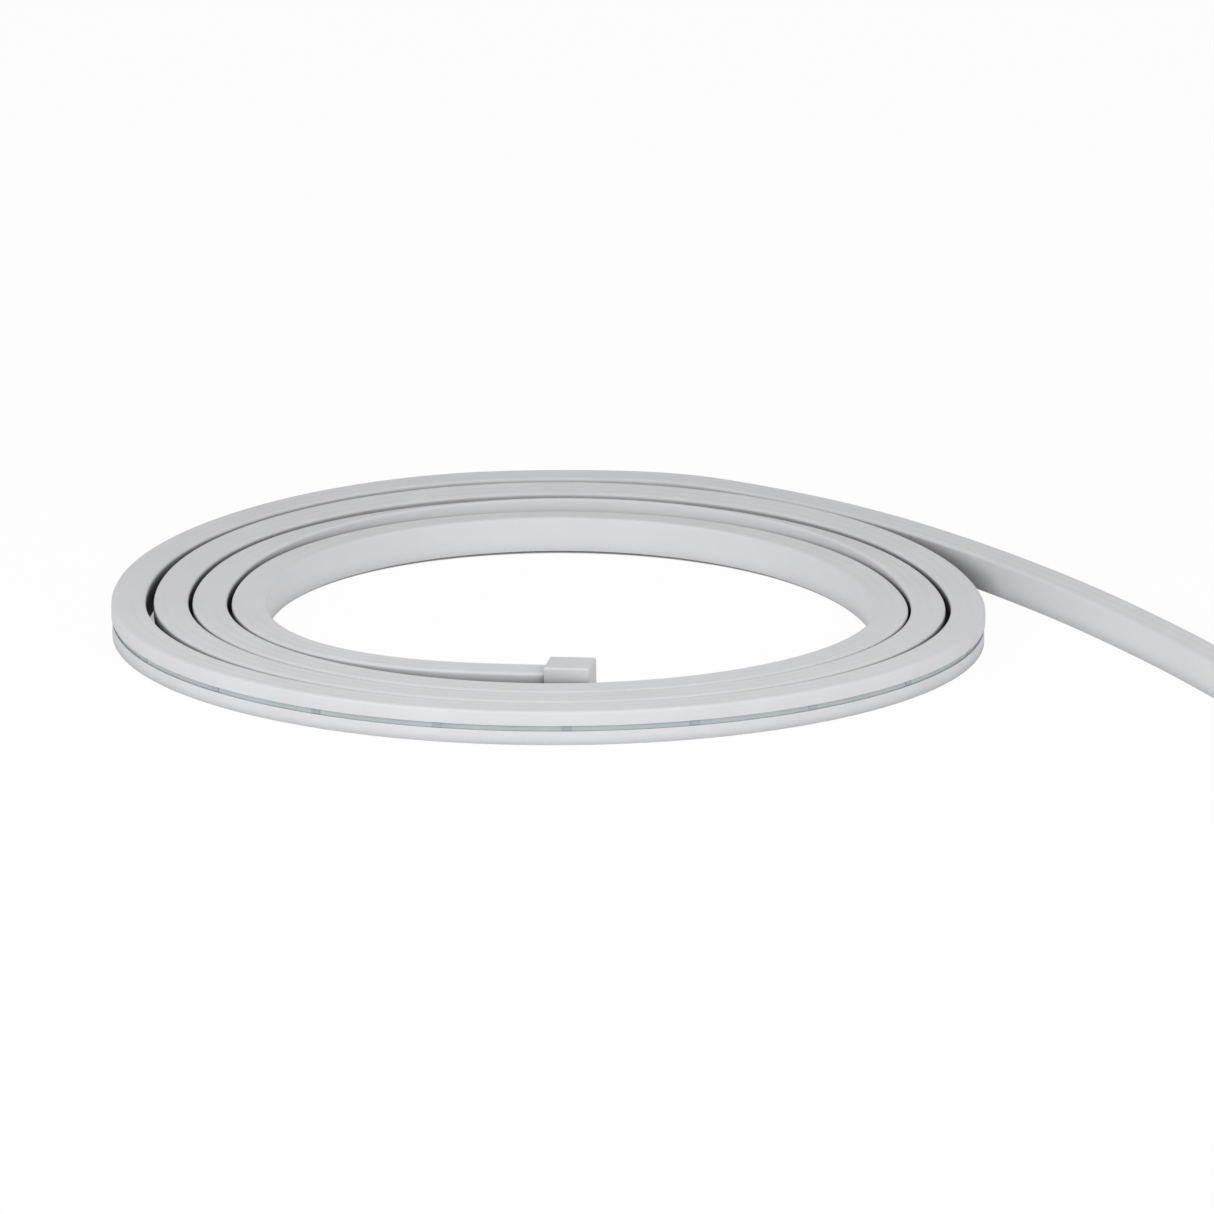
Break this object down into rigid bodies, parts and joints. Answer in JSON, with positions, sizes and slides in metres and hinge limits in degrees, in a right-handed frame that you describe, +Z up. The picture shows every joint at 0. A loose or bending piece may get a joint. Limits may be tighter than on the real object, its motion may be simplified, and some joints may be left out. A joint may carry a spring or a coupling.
{
  "type": "flexible light strip",
  "caption": "Flexible square-section silicone light strip laid in a flat open spiral, with a slotted outer side, a moulded end cap and a feed cap with a lead gland.",
  "frame": {"origin": "middle of the whole footprint, on the surface that the strip lies on", "axes": "+Z up from the surface, +X towards the tail and its put-away coil, +Y away from the capped inner end"},
  "size_m": [0.7079, 0.4182, 0.022],
  "materials": {
    "jacket": "milky silicone, satin",
    "board": "flexible circuit board, blue-grey back seen through the silicone film",
    "led": "light-emitting diode package with phosphor",
    "chip": "ceramic chip resistor",
    "copper": "tinned copper pads",
    "cap": "moulded silicone, satin",
    "sealant": "cured clear silicone",
    "grommet": "soft grey rubber",
    "pin": "bright brass pins",
    "nut": "moulded nylon, matt"
  },
  "bodies": {
    "root": {"strip_coil": "jacket", "strip_tail": "jacket", "strip_stowed": "jacket", "circuit_ribbon": "board", "led_packages": "led", "resistors": "chip", "solder_pads": "copper", "end_cap": "cap", "feed_cap": "cap", "end_sealant": "sealant", "feed_sealant": "sealant", "lead_grommet": "grommet", "contact_pins": "pin", "gland_nut": "nut"}
  },
  "joints": []
}
